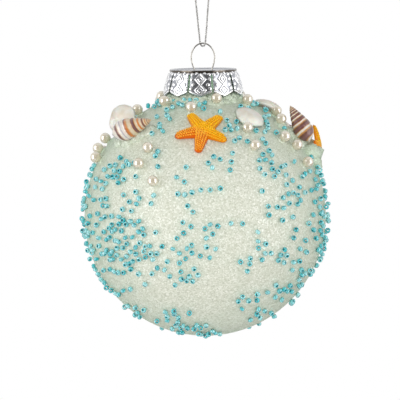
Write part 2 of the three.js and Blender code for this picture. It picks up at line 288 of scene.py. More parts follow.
# The hanger is one spring wire, bent to a ring above the cap. Its two legs go through holes in the cap
# and spread inside the neck, which holds the cap on. Places are [x, height above the cap's disc].
wire_radius = 0.3 * mm
ring_radius, ring_rise = 4.65 * mm, 5.7 * mm
cap_top = ring_top - 10.4 * mm
disc_top = cap_top - 0.4 * mm
sheet_thickness = 0.4 * mm
leg_spacing = 6.9 * mm
leg_length = 11.5 * mm
leg_hole = Vector((leg_spacing / 2, 0, disc_top - sheet_thickness / 2))
neck_radius = 11.9 * mm
neck_wall = 1.2 * mm
leg_end = Vector((neck_radius - neck_wall - wire_radius - 0.5 * mm, 0, leg_hole.z - leg_length))
half_hanger = [
    leg_end,
    Vector((leg_hole.x + (leg_end.x - leg_hole.x) * 0.4, 0, leg_hole.z - leg_length * 0.55)),
    Vector((leg_hole.x + (leg_end.x - leg_hole.x) * 0.06, 0, leg_hole.z - leg_length * 0.17)),
    leg_hole,
]
for angle in range(-20, 90, 22):
    turn = radians(angle)
    half_hanger.append(Vector((ring_radius * cos(turn), 0, ring_top - ring_rise + ring_rise * sin(turn))))
other_half = [Vector((-point.x, 0, point.z)) for point in half_hanger]
hanger_points = other_half + [Vector((0, 0, ring_top))] + half_hanger[::-1]

steel_wire = plain_material("steel_wire", (0.56, 0.54, 0.5, 1), 0.26, Metallic=1.0)
drawn = node(steel_wire, "TexNoise", {"Vector": in_millimetres(steel_wire), "Scale": 1.6, "Detail": 4.0})
feed(
    steel_wire,
    shader_of(steel_wire).inputs["Base Color"],
    colour_steps(steel_wire, drawn.outputs["Fac"], (0.3, (0.4, 0.38, 0.34)), (0.7, (0.66, 0.64, 0.6))),
)
bump(steel_wire, drawn.outputs["Fac"], 0.02 * mm)

hanger_bm = bmesh.new()
sweep(hanger_bm, smooth_route(hanger_points, 0.35 * mm), wire_radius, 14)
hanger = finished_mesh("wire_hanger", hanger_bm, steel_wire)
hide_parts("hanger_wire")

# The cap is pressed from thin silver sheet. Ten fingers with pointed feet carry two embossed diamonds
# each, with rows of dots beside them, and slits between them let the skirt close round the neck.
fingers = 10
front_finger = -4.5
cap_radius = neck_radius + 0.6 * mm + sheet_thickness
skirt_flare = 2.5 * mm
point_length = 1.9 * mm
foot_height = sqrt(ball_radius**2 - (cap_radius + skirt_flare) ** 2) + 2.4 * mm
skirt_length = cap_top - ball_middle.z - point_length - foot_height
slit_width = 0.8 * mm
slit_top = 1.6 * mm
diamond_places = (3.4 * mm, 7.65 * mm)
diamond_half = (1.85 * mm, 2.25 * mm)
dot_places = [(3.15, 1.5), (3.15, 3.4), (2.5, 5.5), (3.15, 7.0), (1.5, 1.1)]
relief_height = 0.26 * mm


def ridge(distance, width):
    return exp(-((distance / width) ** 2))


def emboss(aside, drop, to_foot):
    """The height of the pressed pattern at a place on a finger."""
    height = 0.0
    for middle in diamond_places:
        q = abs(aside) / diamond_half[0] + abs(drop - middle) / diamond_half[1]
        height = max(height, ridge(q - 0.94, 0.1), 0.9 * ridge(q - 0.42, 0.09))
    for x, y in dot_places:
        away = hypot(abs(aside) / mm - x, drop / mm - y)
        height = max(height, 0.9 * sqrt(max(0.0, 1 - (away / 0.52) ** 2)))
    return max(height, 0.8 * ridge(to_foot - 0.5 * mm, 0.22 * mm))


def patch(bm, columns, rows, place, wraps=True, uv=None):
    """A grid whose points are moved to place(across, down), each from 0 to 1, with its doubles merged."""
    made = bmesh.ops.create_grid(bm, x_segments=columns, y_segments=rows, size=0.5)["verts"]
    shares = {vert: (vert.co.x + 0.5, vert.co.y + 0.5) for vert in made}
    if uv:
        layer = bm.loops.layers.uv.verify()
        for face in {face for vert in made for face in vert.link_faces}:
            for loop in face.loops:
                loop[layer].uv = uv(*shares[loop.vert])
    for vert, (across, down) in shares.items():
        vert.co = place(across, down)
    if wraps:
        bmesh.ops.remove_doubles(bm, verts=made, dist=1e-7)
    return shares


def skirt_place(across, down):
    turn = across * fingers
    share = turn - round(turn)
    pitch_arc = 2 * pi * cap_radius / fingers
    reach = skirt_length + point_length * (1 - 2 * abs(share))
    drop = down * reach
    straight = min(drop / skirt_length, 1.25)
    radius = cap_radius + skirt_flare * (1.42 * straight - 0.42 * straight**2)
    radius += 0.12 * mm * ridge(drop - 0.25 * mm, 0.35 * mm) - 0.45 * mm * ridge(drop - 0.9 * mm, 0.45 * mm)
    radius += relief_height * emboss(share * pitch_arc, drop, reach - drop)
    angle = radians(front_finger) + 2 * pi * across
    return Vector((radius * sin(angle), -radius * cos(angle), cap_top - drop))


def finger_relief(across, down):
    """How much of a place on the skirt is raised, from 0 to 1."""
    share = across * fingers - round(across * fingers)
    reach = skirt_length + point_length * (1 - 2 * abs(share))
    fold = ridge(down * reach - 0.45 * mm, 0.22 * mm)
    return emboss(share * 2 * pi * cap_radius / fingers, down * reach, (1 - down) * reach) - 0.5 * fold


cap_bm = bmesh.new()
pressed = cap_bm.verts.layers.float.new("pressed")
for vert, (across, down) in patch(cap_bm, 560, 76, skirt_place, wraps=False).items():
    vert[pressed] = finger_relief(across, down)
bmesh.ops.remove_doubles(cap_bm, verts=cap_bm.verts, dist=1e-7)
slit_share = slit_width / 2 / (2 * pi * (cap_radius + skirt_flare / 2) / fingers)


def in_slit(face):
    middle = face.calc_center_median()
    turn = ((atan2(middle.x, -middle.y) - radians(front_finger)) / (2 * pi) * fingers) % 1
    return abs(turn - 0.5) < slit_share and cap_top - middle.z > slit_top


bmesh.ops.delete(cap_bm, geom=[face for face in cap_bm.faces if in_slit(face)], context="FACES")
bmesh.ops.recalc_face_normals(cap_bm, faces=cap_bm.faces)
outward_face = max(cap_bm.faces, key=lambda face: face.calc_center_median().x)
if outward_face.normal.x < 0:
    bmesh.ops.reverse_faces(cap_bm, faces=cap_bm.faces)
bmesh.ops.solidify(cap_bm, geom=cap_bm.faces, thickness=-0.3 * mm)

pressed_silver = plain_material("pressed_silver", (0.7, 0.71, 0.74, 1), 0.2, Metallic=1.0)
height = node(pressed_silver, "Attribute", attribute_name="pressed").outputs["Fac"]
grain = node(
    pressed_silver, "TexNoise", {"Vector": in_millimetres(pressed_silver), "Scale": 0.9, "Detail": 4.0},
)
# Tarnished by noise, darker along the fold, and the raised ridges and dots painted white: a painted
# highlight.
tarnish_and_ridge_highlight = node(
    pressed_silver, "Math", {0: grain.outputs["Fac"], 1: 0.3, 2: height}, operation="MULTIPLY_ADD",
).outputs[0]
feed(
    pressed_silver,
    shader_of(pressed_silver).inputs["Base Color"],
    colour_steps(
        pressed_silver, tarnish_and_ridge_highlight,
        (0.0, (0.14, 0.12, 0.1)), (0.13, (0.4, 0.41, 0.44)), (0.45, (0.52, 0.53, 0.57)),
        (0.85, (1.0, 1.0, 1.0)),
    ),
)
bump(pressed_silver, grain.outputs["Fac"], 0.008 * mm)
cap_skirt = finished_mesh("cap_skirt", cap_bm, pressed_silver)

# The cap's flat top is one with the skirt: a disc inside a rolled rim, with two holes for the wire.
rim_radius = cap_radius + 0.1 * mm
disc_profile = [
    (0.0, disc_top), (2.0 * mm, disc_top), (cap_radius - 1.2 * mm, disc_top),
    (cap_radius - 0.75 * mm, disc_top + 0.15 * mm), (cap_radius - 0.45 * mm, cap_top),
    (cap_radius - 0.1 * mm, cap_top + 0.06 * mm), (rim_radius, cap_top - 0.12 * mm),
    (cap_radius - 0.25 * mm, cap_top - 0.45 * mm), (cap_radius - 0.6 * mm, disc_top - sheet_thickness),
    (0.0, disc_top - sheet_thickness),
]


def spun(bm, profile, sides):
    """The profile of (radius, height) points turned round the bauble's axis."""
    verts = [bm.verts.new((radius, 0, height)) for radius, height in profile]
    edges = [bm.edges.new(pair) for pair in zip(verts, verts[1:])]
    made = bmesh.ops.spin(
        bm, geom=verts + edges, axis=(0, 0, 1), cent=(0, 0, 0), angle=2 * pi, steps=sides, use_merge=True,
    )
    bmesh.ops.remove_doubles(bm, verts=bm.verts, dist=1e-7)
    return made


disc_bm = bmesh.new()
spun(disc_bm, disc_profile, 120)
cap_disc = finished_mesh("cap_top", disc_bm, pressed_silver)
for side in (-1, 1):
    hole_bm = bmesh.new()
    bmesh.ops.create_cone(
        hole_bm, cap_ends=True, segments=24, radius1=0.65 * mm, radius2=0.65 * mm, depth=3 * mm,
        matrix=Matrix.Translation((side * leg_spacing / 2, 0, disc_top)),
    )
    hole_mesh = bpy.data.meshes.new("hole")
    hole_bm.to_mesh(hole_mesh)
    hole_bm.free()
    punch = bpy.data.objects.new("hole", hole_mesh)
    bpy.context.scene.collection.objects.link(punch)
    cut = cap_disc.modifiers.new("hole", "BOOLEAN")
    cut.object, cut.operation, cut.solver = punch, "DIFFERENCE", "EXACT"
    with bpy.context.temp_override(object=cap_disc, active_object=cap_disc):
        bpy.ops.object.modifier_apply(modifier=cut.name)
    bpy.data.objects.remove(punch)
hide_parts("cap")
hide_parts("cap")

# The ball is blown glass with an open neck. All but the neck is coated with a pale sage frost of sugar
# fine glitter, so its skin is rough, and its wall is even.
neck_length = 8.6 * mm
fillet_radius = 2.5 * mm
glass_wall = 1.0 * mm
frost_depth = 0.07 * mm
frost_cell = 0.85
around, outer_rows, inner_rows = 300, 210, 24
fillet_axis = neck_radius + fillet_radius
shoulder = atan2(fillet_axis, sqrt((ball_radius + fillet_radius) ** 2 - fillet_axis**2))
fillet_height = (ball_radius + fillet_radius) * cos(shoulder)
outer = []
for i in range(outer_rows + 1):
    polar = pi - (pi - shoulder) * i / outer_rows
    outer.append((ball_radius * sin(polar), ball_radius * cos(polar)))
for i in range(1, 5):
    turn = shoulder + (pi / 2 - shoulder) * i / 4
    outer.append((fillet_axis - fillet_radius * sin(turn), fillet_height - fillet_radius * cos(turn)))
mouth = fillet_height + neck_length
bore, hollow = neck_radius - neck_wall, ball_radius - glass_wall
throat = atan2(bore, sqrt(hollow**2 - bore**2))
lip = [(neck_radius, mouth), (bore, mouth)]
inner = []
for i in range(inner_rows + 1):
    polar = throat + (pi - throat) * i / inner_rows
    inner.append((hollow * sin(polar), hollow * cos(polar)))
outer[0], inner[-1] = (0.0, -ball_radius), (0.0, glass_wall - ball_radius)

ball_bm = bmesh.new()
spun(ball_bm, [(radius, height + ball_middle.z) for radius, height in outer + lip + inner], around)
for vert in ball_bm.verts:
    spot = vert.co - ball_middle
    if spot.length < ball_radius - 0.3 * mm or spot.z > fillet_height:
        continue
    grit = noise.noise(spot / mm / frost_cell) + 0.5 * noise.noise(spot / mm / frost_cell * 2.1)
    swell = 0.5 * noise.noise(spot / mm / 9)
    vert.co += spot.normalized() * frost_depth * (0.5 + grit + swell) * min(1, (fillet_height - spot.z) / mm)

frosted_glass = plain_material(
    "frosted_glass", (0.66, 0.68, 0.6, 1), 0.6, Coat_Weight=0.1, Coat_Roughness=0.35,
)
place = in_millimetres(frosted_glass)
crystals = node(frosted_glass, "TexVoronoi", {"Vector": place, "Scale": 2.1, "Randomness": 1.0})
crystal_tone = node(frosted_glass, "SeparateColor", {"Color": crystals.outputs["Color"]}).outputs["Red"]
patches = node(frosted_glass, "TexNoise", {"Vector": place, "Scale": 0.07, "Detail": 3.0}).outputs["Fac"]
places = node(frosted_glass, "SeparateXYZ", {"Vector": place})
# Paler towards the front and back, greener towards the rim: painted light and shade, over random patches.
from_side = node(frosted_glass, "Math", {0: places.outputs["Y"]}, operation="ABSOLUTE").outputs[0]
turned = node(
    frosted_glass, "MapRange", {"Value": from_side, "From Max": 40.0, "To Max": 0.6},
).outputs["Result"]
patches_and_painted_light = node(frosted_glass, "Math", {0: patches, 1: 0.4, 2: turned}, operation="MULTIPLY_ADD").outputs[0]
sugar = colour_steps(
    frosted_glass, crystal_tone,
    (0.0, (0.54, 0.56, 0.46)), (0.3, (0.65, 0.67, 0.57)), (0.75, (0.71, 0.73, 0.64)),
    (0.92, (0.88, 0.89, 0.82)),
)
tint_and_painted_shade = colour_steps(
    frosted_glass, patches_and_painted_light, (0.15, (0.79, 0.95, 0.83)), (0.5, (0.93, 0.99, 0.93)), (0.8, (1.0, 1.0, 0.97)),
)
coated = node(
    frosted_glass, "Mix", {0: 1.0, 6: sugar, 7: tint_and_painted_shade}, data_type="RGBA", blend_type="MULTIPLY",
).outputs[2]
bare_from = (ball_middle.z + fillet_height) / mm
bare = node(
    frosted_glass, "MapRange",
    {"Value": places.outputs["Z"], "From Min": bare_from + 1, "From Max": bare_from + 3},
).outputs["Result"]
skin = node(
    frosted_glass, "Mix", {0: bare, 6: coated, 7: (0.62, 0.9, 0.64, 1)}, data_type="RGBA",
).outputs[2]
feed(frosted_glass, shader_of(frosted_glass).inputs["Base Color"], skin)
glitter = colour_steps(
    frosted_glass, crystal_tone, (0.0, (0.75,) * 3), (0.8, (0.55,) * 3), (0.9, (0.16,) * 3),
)
feed(frosted_glass, shader_of(frosted_glass).inputs["Roughness"], glitter)
facets = bump(frosted_glass, crystals.outputs["Distance"], 0.12 * mm, 0.6)
fine = node(frosted_glass, "TexNoise", {"Vector": place, "Scale": 4.5, "Detail": 3.0}).outputs["Fac"]
bump(frosted_glass, fine, 0.06 * mm, 0.5, under=facets)
ball = finished_mesh("frosted_glass_ball", ball_bm, frosted_glass)
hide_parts("glass_ball")


def on_ball(longitude, latitude, height=0.0, spin=0.0, tilt=0.0, lean=0.0):
    """The frame of a place on the ball: x east, y north, z outwards. Longitude runs from the front to +X."""
    lon, lat = radians(longitude), radians(latitude)
    normal = Vector((cos(lat) * sin(lon), -cos(lat) * cos(lon), sin(lat)))
    east = Vector((cos(lon), sin(lon), 0))
    seat = Matrix((east, normal.cross(east), normal)).transposed().to_4x4()
    seat.translation = ball_middle + normal * (ball_radius + height)
    turns = Matrix.Rotation(radians(spin), 4, "Z") @ Matrix.Rotation(radians(-tilt), 4, "Y")
    return seat @ turns @ Matrix.Rotation(radians(lean), 4, "X")


glue_gap = 0.4 * mm
keep_clear = []


def claim(point, radius):
    """Notes ground that a trimming covers, so that no seed bead is put there."""
    keep_clear.append(((point - ball_middle).normalized() * ball_radius, radius))


def raised(tilt, lean, reach_x, reach_y):
    return hypot(sin(radians(tilt)) * reach_x, sin(radians(lean)) * reach_y)


# The starfish are cast in orange resin, with five plump arms and rows of round knobs along them. Two
# are glued flat on the frost by their middle, and the one on the right leans out of a lump of glue.
arm_length = 10.7 * mm
star_thickness = 2.6 * mm
arm_base, arm_tip = 3.4 * mm, 1.65 * mm
star_arms = [(49, 1.04), (119, 1.06), (190, 1.04), (259, 1.0), (333, 0.95)]
star_droop = 0.5
starfish_places = {
    "front": (-0.7, 46.5, 0, 0, 0, 1.0),
    "right_rear": (97, 30.5, -27, 0, 27, 0.78),
    "back": (176, 44, 35, 0, 0, 1.0),
}
knob_radius = 0.42 * mm
chance = Random(24)


def fall_away(distance):
    return ball_radius - sqrt(ball_radius**2 - distance**2)


def arm_reach(off, length):
    """How far an arm's tapered outline reaches in a direction off its own."""
    off = abs((off + pi) % (2 * pi) - pi)
    if off > pi / 2:
        return 0.0
    straight = length - arm_tip
    taper = (arm_base - arm_tip) / straight
    side = arm_base / (sin(off) + taper * cos(off))
    if side * cos(off) < straight:
        return side
    return straight * cos(off) + sqrt(max(0.0, arm_tip**2 - (straight * sin(off)) ** 2))


def star_reach(turn):
    return max(arm_reach(turn - radians(way), arm_length * share) for way, share in star_arms)


def star_top(share):
    return star_thickness * (0.16 + 0.84 * sqrt(max(0.0, 1 - share**2.3)))


def star_place(across, down, size):
    turn = 2 * pi * across
    share = down / 0.8 if down < 0.8 else 1 - 0.06 * (down - 0.8) / 0.05
    if down > 0.85:
        share = 0.94 * (1 - (down - 0.85) / 0.15)
    distance = size * star_reach(turn) * share
    height = star_top(share) if down <= 0.8 else 0.16 * star_thickness * max(0.0, 1 - (down - 0.8) / 0.05)
    rise = size * height - star_droop * fall_away(distance)
    return Vector((distance * cos(turn), distance * sin(turn), rise))


def starfish_mesh(bm, seat, size):
    knobbed = bm.verts.layers.float.new("knob")
    redness = bm.verts.layers.float.new("ripe")
    patch(bm, 240, 30, lambda across, down: star_place(across, down, size))
    for way, share in star_arms:
        for row, shift in ((0, 0.0), (-1, 0.5), (1, 0.5), (-2, 0.0), (2, 0.0)):
            for k in range(12):
                along = arm_length * share * (0.06 + 0.082 * (k + shift))
                width = arm_base + (arm_tip - arm_base) * along / arm_length
                aside = row * 0.34 * width
                distance = hypot(aside, along)
                turn = radians(way) + atan2(aside, along)
                edge = star_reach(turn)
                if distance > 0.95 * edge:
                    continue
                height = size * star_top(distance / edge) - star_droop * fall_away(size * distance)
                spot = Matrix.Translation((size * distance * cos(turn), size * distance * sin(turn), height))
                knob_size = size * knob_radius * (1.1 - 0.3 * along / arm_length) * chance.uniform(0.75, 1.1)
                made = bmesh.ops.create_icosphere(bm, subdivisions=2, radius=knob_size, matrix=spot)
                for vert in made["verts"]:
                    vert[knobbed] = 1.0
    for vert in bm.verts:
        turn = atan2(vert.co.y, vert.co.x)
        vert[redness] = max(0.0, cos(turn - radians(238))) * min(1.0, hypot(vert.co.x, vert.co.y) / (3 * mm))
    bmesh.ops.transform(bm, matrix=seat, verts=bm.verts)


orange_resin = plain_material(
    "orange_resin", (0.9, 0.3, 0.01, 1), 0.3, Subsurface_Weight=0.15, Subsurface_Scale=0.0015,
    Specular_IOR_Level=0.2,
)
shader_of(orange_resin).inputs["Subsurface Radius"].default_value = (1.0, 0.45, 0.1)
casting = node(
    orange_resin, "TexNoise", {"Vector": in_millimetres(orange_resin), "Scale": 0.5, "Detail": 3.0},
)
ripe = node(orange_resin, "Attribute", attribute_name="ripe").outputs["Fac"]
redder = node(
    orange_resin, "Math", {0: casting.outputs["Fac"], 1: 0.5, 2: ripe}, operation="MULTIPLY_ADD",
).outputs[0]
body = colour_steps(
    orange_resin, redder, (0.2, (0.84, 0.30, 0.001)), (0.6, (0.8, 0.22, 0.001)), (1.0, (0.7, 0.13, 0.001)),
)
knob = node(orange_resin, "Attribute", attribute_name="knob").outputs["Fac"]
# Knobs lighter and yellower than the body: partly their own colour, partly a painted highlight.
knob_tone_and_highlight = colour_steps(orange_resin, redder, (0.3, (1.0, 0.54, 0.01)), (0.9, (1.0, 0.46, 0.04)))
feed(
    orange_resin,
    shader_of(orange_resin).inputs["Base Color"],
    node(orange_resin, "Mix", {0: knob, 6: body, 7: knob_tone_and_highlight}, data_type="RGBA").outputs[2],
)
grain = node(orange_resin, "TexNoise", {"Vector": in_millimetres(orange_resin), "Scale": 2.0, "Detail": 2.0})
bump(orange_resin, grain.outputs["Fac"], 0.08 * mm)
for name, (longitude, latitude, spin, tilt, lean, size) in starfish_places.items():
    lift = glue_gap + raised(tilt, lean, size * arm_length, size * arm_length)
    seat = on_ball(longitude, latitude, lift, spin, tilt, lean)
    star_bm = bmesh.new()
    starfish_mesh(star_bm, seat, size)
    star = finished_mesh(f"starfish_of_resin_{name}", star_bm, orange_resin)
    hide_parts(f"starfish_{name}")
    for way, share in star_arms:
        for along in (0.25, 0.55, 0.85):
            spot = Vector((cos(radians(way)), sin(radians(way)), 0)) * size * arm_length * share * along
            claim(seat @ spot, 2.6 * mm)

# The clam shells are single white valves, hollow below and glued by their rim. Fine ribs fan out from
# the beak, and faint growth lines cross them. The ribs of the left one are the strongest.
clam_length, clam_width, clam_height = 11.4 * mm, 12.4 * mm, 3.4 * mm
clam_wall = 0.8 * mm
clam_places = {
    "left": (-70, 49.5, -12, -34, 10, 0.24),
    "right": (38.5, 54.5, -58, 0, 0, 0.03),
    "right_rear": (108, 58, -30, 0, -8, 0.05),
    "back_left": (-142, 53, 25, 0, 0, 0.1),
    "back_right": (146, 40, -70, 0, 0, 0.08),
}
clam_ribs = 58


def clam_place(across, down, rib_height):
    turn = 2 * pi * across
    outside = down < 0.6
    scale = down / 0.6 if outside else 1 - (down - 0.6) / 0.4
    wide = scale if outside else scale * (1 - clam_wall / clam_width)
    beak = max(0.0, -sin(turn))
    rim = Vector((
        clam_width / 2 * cos(turn) * (1 - 0.25 * beak), clam_length / 2 * (sin(turn) - 0.1 * beak**4), 0,
    ))
    apex = Vector((0, -0.18 * clam_length, 0))
    spot = apex + (rim - apex) * wide
    dome = sqrt(max(0.0, 1 - wide**2.4))
    spot.z = (clam_height if outside else clam_height - clam_wall) * dome
    if outside:
        ribs = 0.5 + 0.5 * cos(clam_ribs * turn)
        growth = 0.5 + 0.5 * cos(26 * scale + 2 * scale * sin(turn))
        lift = (rib_height * ribs * min(1, 2.2 * scale) + 0.03 * growth) * mm
        spot += Vector((rim.x * scale, rim.y * scale, clam_height)).normalized() * lift * (1 - scale**12)
    return spot


white_shell = plain_material(
    "white_shell", (0.8, 0.77, 0.72, 1), 0.38, Subsurface_Weight=0.12, Subsurface_Scale=0.0015,
    Coat_Weight=0.2, Coat_Roughness=0.3,
)
bands = node(white_shell, "TexNoise", {"Vector": in_millimetres(white_shell), "Scale": 0.3, "Detail": 4.0})
feed(
    white_shell,
    shader_of(white_shell).inputs["Base Color"],
    colour_steps(
        white_shell, bands.outputs["Fac"],
        (0.3, (0.74, 0.68, 0.56)), (0.5, (0.8, 0.77, 0.68)), (0.7, (0.86, 0.85, 0.79)),
    ),
)
chalk = node(white_shell, "TexNoise", {"Vector": in_millimetres(white_shell), "Scale": 2.6, "Detail": 4.0})
bump(white_shell, chalk.outputs["Fac"], 0.05 * mm)
for name, (longitude, latitude, spin, tilt, lean, ribs) in clam_places.items():
    lift = glue_gap + raised(tilt, lean, clam_width / 2, clam_length / 2)
    seat = on_ball(longitude, latitude, lift, spin, tilt, lean)
    clam_bm = bmesh.new()
    patch(clam_bm, 232, 50, lambda across, down: clam_place(across, down, ribs))
    bmesh.ops.transform(clam_bm, matrix=seat, verts=clam_bm.verts)
    clam = finished_mesh(f"clam_valve_{name}", clam_bm, white_shell)
    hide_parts(f"clam_shell_{name}")
    claim(seat.translation, 6.3 * mm)

# The snail shells are small polished turrets, cream with brown, orange and purple bands that follow
# the whorls. Each lies on its side, its mouth half buried in the glue.
turret_length, turret_radius = 18 * mm, 4.1 * mm
turret_widths = [0, 0.55, 0.84, 0.98, 1, 0.95, 0.85, 0.72, 0.58, 0.42, 0.25, 0]
turret_places = {
    "left": (-48, 44.3, 33, -4, 1.0, 0.0),
    "right": (75, 43, 92, 14, 0.92, 1.0),
    "back_left": (-138, 36, 150, -6, 1.0, 0.0),
    "back_right": (128, 35, 60, -6, 1.0, 1.0),
}
first_whorl_end = 0.46
whorl_shrink = 0.71


def eased(values, share):
    """A smooth value read off evenly spaced ones."""
    at = min(share * (len(values) - 1), len(values) - 1.001)
    i = int(at)
    t = at - i
    a, b, c, d = values[max(i - 1, 0)], values[i], values[i + 1], values[min(i + 2, len(values) - 1)]
    return b + 0.5 * t * (c - a + t * (2 * a - 5 * b + 4 * c - d + t * (3 * (b - c) + d - a)))


def whorl_count(along):
    return log(max(1 - along, 0.04) / (1 - first_whorl_end)) / log(whorl_shrink)


def turret_place(across, along, size):
    turn = 2 * pi * across + pi / 2
    whorl = whorl_count(along) + across
    part = whorl - int(whorl // 1)
    fade = min(1.0, max(0.0, (along - 0.16) / 0.2)) * min(1.0, (1 - along) / 0.04)
    bulge = 0.10 * fade * (4 * part * (1 - part)) ** 0.6 - 0.10 * fade
    fold = 0.015 * fade * cos(16 * turn)
    radius = size * turret_radius * eased(turret_widths, along) * (1.02 + bulge + fold)
    return Vector((size * turret_length * (along - 0.5), radius * cos(turn), -radius * sin(turn)))


striped_shell = plain_material(
    "striped_shell", (0.7, 0.5, 0.35, 1), 0.28, Subsurface_Weight=0.06, Subsurface_Scale=0.001,
    Coat_Weight=0.6, Coat_Roughness=0.12,
)
on_shell = node(striped_shell, "TexCoord").outputs["UV"]
parts = node(striped_shell, "SeparateXYZ", {"Vector": on_shell})
mottle = node(
    striped_shell, "TexNoise", {"Vector": in_millimetres(striped_shell), "Scale": 0.7, "Detail": 3.0},
).outputs["Fac"]
wander = node(
    striped_shell, "Math", {0: mottle, 1: 0.16, 2: parts.outputs["Y"]}, operation="MULTIPLY_ADD",
).outputs[0]
band = node(striped_shell, "Math", {0: wander}, operation="FRACT").outputs[0]
halved = node(striped_shell, "Math", {0: wander, 1: 0.5}, operation="MULTIPLY").outputs[0]
band_pair = node(striped_shell, "Math", {0: halved}, operation="FRACT").outputs[0]
cream, sand, ochre, orange = (0.72, 0.6, 0.42), (0.6, 0.42, 0.24), (0.6, 0.28, 0.07), (0.62, 0.2, 0.03)
umber, plum, lilac, milk = (0.16, 0.06, 0.035), (0.2, 0.085, 0.09), (0.42, 0.36, 0.42), (0.8, 0.74, 0.66)
spire = colour_steps(
    striped_shell, band_pair,
    (0.0, cream), (0.07, cream), (0.12, orange), (0.27, orange), (0.32, sand), (0.37, cream), (0.54, cream),
    (0.58, ochre), (0.62, umber), (0.72, plum), (0.82, umber), (0.86, ochre), (0.92, cream),
)
body_whorl = colour_steps(
    striped_shell, band,
    (0.0, milk), (0.2, milk), (0.3, umber), (0.42, plum), (0.5, sand), (0.58, milk), (0.74, milk),
    (0.84, lilac), (0.94, milk),
)
along_shell = node(striped_shell, "Attribute", attribute_name="along").outputs["Fac"]
in_spire = node(
    striped_shell, "MapRange", {"Value": along_shell, "From Min": 0.4, "From Max": 0.47},
).outputs["Result"]
pale = node(striped_shell, "Mix", {0: in_spire, 6: body_whorl, 7: spire}, data_type="RGBA").outputs[2]
brown = colour_steps(
    striped_shell, band,
    (0.0, sand), (0.08, milk), (0.2, milk), (0.28, ochre), (0.34, umber), (0.56, plum), (0.7, umber),
    (0.84, umber), (0.94, ochre),
)
dark = node(striped_shell, "Attribute", attribute_name="darkness").outputs["Fac"]
banding = node(striped_shell, "Mix", {0: dark, 6: pale, 7: brown}, data_type="RGBA").outputs[2]
apex_tone = node(
    striped_shell, "MapRange", {"Value": along_shell, "From Min": 0.84, "From Max": 0.97},
).outputs["Result"]
feed(
    striped_shell,
    shader_of(striped_shell).inputs["Base Color"],
    node(striped_shell, "Mix", {0: apex_tone, 6: banding, 7: (*sand, 1)}, data_type="RGBA").outputs[2],
)
growth = node(striped_shell, "TexWave", {"Vector": on_shell, "Scale": 14.0, "Distortion": 1.5, "Detail": 2.0})
bump(striped_shell, growth.outputs["Fac"], 0.04 * mm)
for name, (longitude, latitude, spin, tilt, size, darkness) in turret_places.items():
    lift = glue_gap + size * turret_radius + raised(tilt, 0, turret_length / 3, 0)
    seat = on_ball(longitude, latitude, lift, spin, tilt)
    turret_bm = bmesh.new()
    along_layer = turret_bm.verts.layers.float.new("along")
    dark_layer = turret_bm.verts.layers.float.new("darkness")
    shares = patch(
        turret_bm, 64, 130, lambda across, down: turret_place(across, down, size), wraps=False,
        uv=lambda across, down: (across, whorl_count(down) + across),
    )
    for vert, (_, down) in shares.items():
        vert[along_layer], vert[dark_layer] = down, darkness
    bmesh.ops.remove_doubles(turret_bm, verts=turret_bm.verts, dist=1e-7)
    bmesh.ops.transform(turret_bm, matrix=seat, verts=turret_bm.verts)
    turret = finished_mesh(f"snail_shell_{name}", turret_bm, striped_shell)
    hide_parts(f"turret_shell_{name}")
    for share in (-0.36, -0.12, 0.12, 0.34):
        claim(seat @ Vector((share * turret_length, 0, 0)), (3.9 - 4 * max(share, 0)) * mm)

# The pearls are round plastic ones with a cream pearl coat, each in its own dab of glue. They are 4.3 mm
# across, which is a little more than their solids.
pearl_radius = 2.15 * mm
ivory_pearl = plain_material(
    "ivory_pearl", (0.66, 0.57, 0.4, 1), 0.35, Coat_Weight=1.0, Coat_Roughness=0.08, Coat_IOR=3.4,
)
nacre = node(ivory_pearl, "TexNoise", {"Vector": in_millimetres(ivory_pearl), "Scale": 0.35, "Detail": 2.0})
feed(
    ivory_pearl,
    shader_of(ivory_pearl).inputs["Base Color"],
    colour_steps(ivory_pearl, nacre.outputs["Fac"], (0.35, (0.64, 0.55, 0.38)), (0.65, (0.71, 0.63, 0.47))),
)
ripple = node(ivory_pearl, "TexNoise", {"Vector": in_millimetres(ivory_pearl), "Scale": 1.4, "Detail": 1.0})
bump(ivory_pearl, ripple.outputs["Fac"], 0.006 * mm)
pearl_nodes = [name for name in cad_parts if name.startswith("pearl_")]
pearl_bm = bmesh.new()
pearl_spots = []
for name in pearl_nodes:
    low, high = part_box(name)
    middle = (low + high) / 2
    pearl_spots.append(middle)
    bmesh.ops.create_uvsphere(
        pearl_bm, u_segments=28, v_segments=18, radius=pearl_radius, matrix=Matrix.Translation(middle),
    )
    claim(middle, 2.9 * mm)
pearls = finished_mesh("pearls", pearl_bm, ivory_pearl)
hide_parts(*pearl_nodes)

# Every trimming sits in a low bed of clear glue that has taken up frost, so it looks like the coat.
# A collar of the same glue closes the gap under the cap, and lumps hold the trimmings that stand out.
bed_bm = bmesh.new()


def bed(point, spread, height):
    out = (point - ball_middle).normalized()
    turn = out.to_track_quat("Z", "Y").to_matrix().to_4x4()
    turn.translation = ball_middle + out * (ball_radius - 0.2 * mm)
    made = bmesh.ops.create_icosphere(bed_bm, subdivisions=3, radius=1.0)["verts"]
    for vert in made:
        lump = 1 + 0.25 * noise.noise(vert.co * 1.7 + point / mm)
        across, up = spread * lump, height * lump
        vert.co = turn @ Vector((vert.co.x * across, vert.co.y * across, vert.co.z * up))


